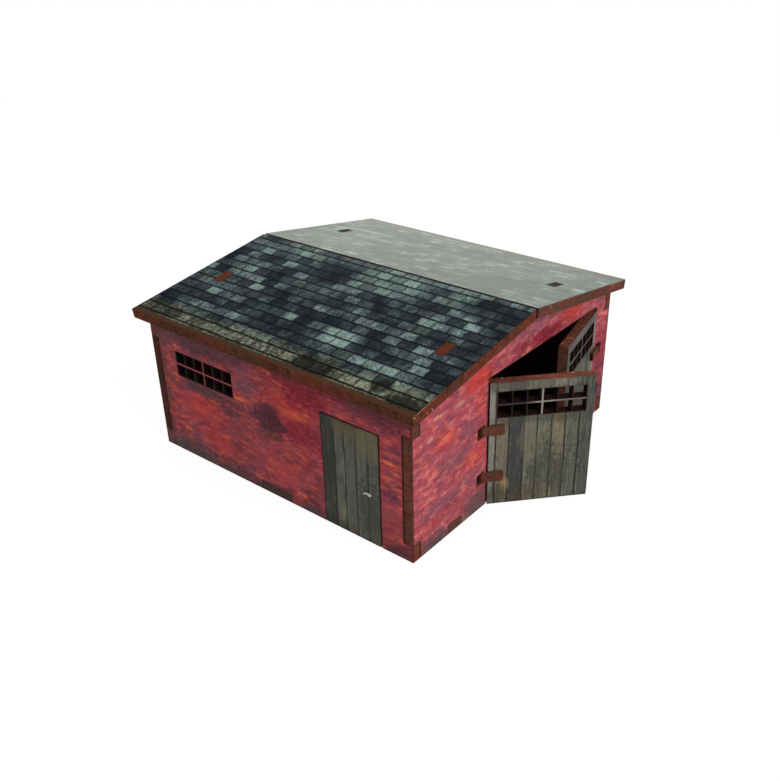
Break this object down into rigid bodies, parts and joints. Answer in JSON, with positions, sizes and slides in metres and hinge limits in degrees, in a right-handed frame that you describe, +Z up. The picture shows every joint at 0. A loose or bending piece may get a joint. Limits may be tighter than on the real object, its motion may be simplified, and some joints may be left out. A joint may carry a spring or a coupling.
{
  "type": "model brick shed",
  "caption": "Table-top brick shed of slotted board with hook-hinged garage leaves, a loose side door and a lift-off pitched roof.",
  "frame": {"origin": "on the ground at the centre of the walls' footprint", "axes": "+Z up, -Y out of the front gable with the garage doorway, -X out of the wall with the side door"},
  "size_m": [0.1092, 0.1238, 0.0551],
  "materials": {
    "bare_board": "bare fibreboard, browned at the laser-cut edges",
    "brick_board": "fibreboard printed as red brickwork, satin",
    "slate_board": "fibreboard printed as grey slates, satin",
    "plank_board": "fibreboard printed as weathered planks, satin",
    "grey_handle": "light grey paint"
  },
  "bodies": {
    "shell": {"floor_plate": "bare_board", "front_wall": "brick_board", "rear_wall": "brick_board", "left_wall": "brick_board", "right_wall": "brick_board"},
    "garage_leaf_left": {"garage_door_left": "plank_board", "hinge_hook_left_upper": "bare_board", "hinge_hook_left_lower": "bare_board"},
    "garage_leaf_right": {"garage_door_right": "plank_board", "hinge_hook_right_upper": "bare_board", "hinge_hook_right_lower": "bare_board"},
    "side_leaf": {"side_door": "plank_board", "side_door_handle": "grey_handle"},
    "roof": {"roof_panel_left": "slate_board", "roof_panel_right": "slate_board", "roof_former_front": "bare_board", "roof_former_rear": "bare_board"}
  },
  "joints": [
    {"name": "garage_door_left_hinge", "type": "hinge", "parent": "shell", "child": "garage_leaf_left", "pos_m": [-0.0187, -0.0489, 0.017], "axis": [0, 0, -1], "range_deg": [-43, 57]},
    {"name": "garage_door_right_hinge", "type": "hinge", "parent": "shell", "child": "garage_leaf_right", "pos_m": [0.0433, -0.0489, 0.017], "axis": [0, 0, 1], "range_deg": [-12, 88]},
    {"name": "side_door_lift_out", "type": "slide", "parent": "shell", "child": "side_leaf", "axis": [-1, 0, 0], "range_m": [0, 0.015]},
    {"name": "roof_lift_off", "type": "slide", "parent": "shell", "child": "roof", "axis": [0, 0, 1], "range_m": [0, 0.04]}
  ]
}
